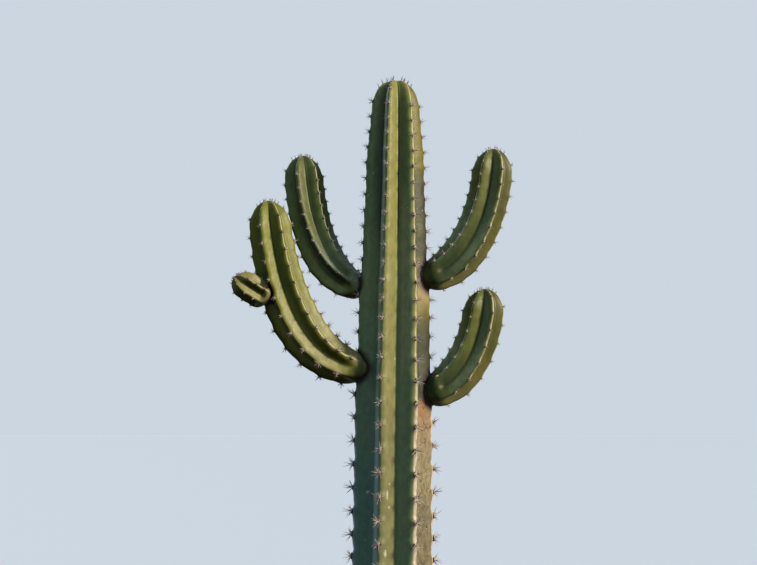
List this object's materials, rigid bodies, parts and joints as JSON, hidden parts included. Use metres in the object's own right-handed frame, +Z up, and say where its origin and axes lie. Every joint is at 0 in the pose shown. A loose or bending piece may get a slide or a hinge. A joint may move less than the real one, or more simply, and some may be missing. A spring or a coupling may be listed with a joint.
{
  "type": "columnar cactus",
  "caption": "Tall branched columnar cactus: a broad-ribbed leaning trunk with upswept arms on both sides and a young offshoot, rooted in the ground by a flat cut.",
  "frame": {"origin": "middle of the flat cut under the trunk, at ground level", "axes": "+Z up along the trunk, +X towards the two right-hand arms, -Y towards the viewer"},
  "size_m": [0.6386, 0.2389, 2.01],
  "materials": {
    "trunk_skin": "waxy grey-green skin, corky and tan where it is old",
    "arm_skin": "waxy olive-green young skin",
    "offshoot_skin": "waxy yellow-green new skin",
    "spine_wool": "short matt grey wool of the spine cushions",
    "spines": "stiff grey to red-brown needles"
  },
  "bodies": {
    "root": {"trunk": "trunk_skin", "upper_left_elbow": "arm_skin", "upper_left_arm": "arm_skin", "lower_left_elbow": "arm_skin", "lower_left_arm": "arm_skin", "lower_left_offshoot": "offshoot_skin", "upper_right_elbow": "arm_skin", "upper_right_arm": "arm_skin", "lower_right_elbow": "arm_skin", "lower_right_arm": "arm_skin"}
  },
  "joints": []
}
